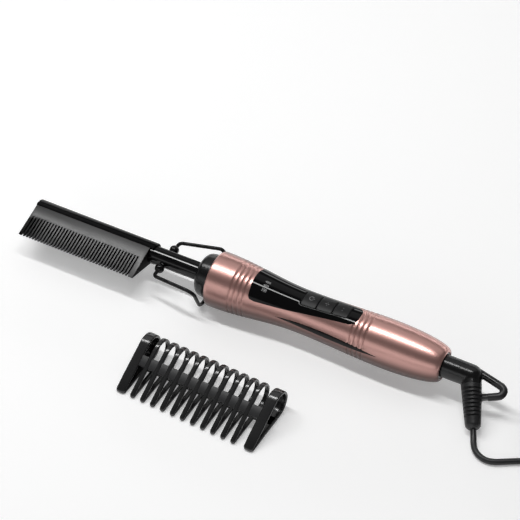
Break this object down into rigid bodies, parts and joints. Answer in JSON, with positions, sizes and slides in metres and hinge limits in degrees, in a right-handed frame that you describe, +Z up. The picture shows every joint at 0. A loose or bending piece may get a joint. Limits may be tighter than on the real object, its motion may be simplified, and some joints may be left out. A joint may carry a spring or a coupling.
{
  "type": "electric hot comb",
  "caption": "Electric hot comb with a rose-gold handle, button panel, folding wire stand, swivelling cord boot with hang loop, coiled cord with plug, and a slip-on comb guard.",
  "frame": {"origin": "middle of the flat under the wire stand's cross wire, on the surface that the comb lies on", "axes": "+X from the comb's tip towards the cord, along the handle; +Y towards the comb's round back, so the teeth point to -Y; +Z up, through the control panel"},
  "size_m": [0.4325, 0.1796, 0.0361],
  "materials": {
    "comb_metal": "black ceramic coating, satin",
    "black_gloss": "glossy",
    "barrel_black": "glossy enamel",
    "black_wire": "satin lacquer",
    "rose_gold": "satin metallic lacquer",
    "black_matte": "matte",
    "guard_black": "satin",
    "cord_black": "satin PVC sheath",
    "tie_black": "woven strap",
    "nickel": "nickel plated",
    "steel": "zinc plated",
    "brass": "bright",
    "ceramic": "white heat-proof ceramic",
    "amber_film": "heat-proof film",
    "red_wire": "silicone insulation",
    "white_wire": "silicone insulation",
    "board_green": "glass epoxy with green mask",
    "board_brown": "component bodies",
    "clear_led": "clear resin"
  },
  "bodies": {
    "handle": {"comb_head": "comb_metal", "spine_cover": "black_gloss", "heater_core": "ceramic", "heater_sleeve": "amber_film", "temperature_sensor": "amber_film", "thermal_fuse": "steel", "heater_leads": "red_wire", "barrel": "barrel_black", "barrel_bush": "ceramic", "front_collar": "black_gloss", "stand_knuckles": "barrel_black", "upper_shell": "rose_gold", "lower_shell": "rose_gold", "control_panel": "black_gloss", "circuit_board": "board_green", "board_parts": "board_brown", "tact_switches": "black_matte", "indicator_leds": "clear_led", "inlay_near": "black_gloss", "inlay_far": "black_gloss", "shell_screws": "steel", "tail_ring": "black_matte", "brush_block": "black_matte", "slip_brushes": "brass", "supply_wires": "white_wire", "cord_lead": "cord_black", "cord_coil": "cord_black", "cord_tail": "cord_black", "coil_tie": "tie_black", "plug_body": "black_matte", "plug_blades": "nickel"},
    "stand": {"stand_bail": "black_wire"},
    "power_key": {"power_button": "black_matte"},
    "up_key": {"up_button": "black_matte"},
    "down_key": {"down_button": "black_matte"},
    "swivel": {"swivel_boot": "black_matte", "swivel_spindle": "ceramic", "slip_rings": "brass"},
    "guard": {"guard_comb": "guard_black"}
  },
  "joints": [
    {"name": "stand_fold", "type": "hinge", "parent": "handle", "child": "stand", "pos_m": [-0.0302, 0, 0.0181], "axis": [0, 1, 0], "range_deg": [0, 95]},
    {"name": "power_press", "type": "slide", "parent": "handle", "child": "power_key", "axis": [0, 0, -1], "range_m": [0, 0.0008], "stiffness_N_per_m": 300, "springref_m": -0.001},
    {"name": "up_press", "type": "slide", "parent": "handle", "child": "up_key", "axis": [0, 0, -1], "range_m": [0, 0.0008], "stiffness_N_per_m": 300, "springref_m": -0.001},
    {"name": "down_press", "type": "slide", "parent": "handle", "child": "down_key", "axis": [0, 0, -1], "range_m": [0, 0.0008], "stiffness_N_per_m": 300, "springref_m": -0.001},
    {"name": "cord_swivel", "type": "hinge", "parent": "handle", "child": "swivel", "pos_m": [0.1617, 0, 0.0181], "axis": [-1, 0, 0], "continuous": true},
    {"name": "guard_lift", "type": "slide", "parent": "handle", "child": "guard", "axis": [0, 0, 1], "range_m": [0, 0.06]}
  ]
}
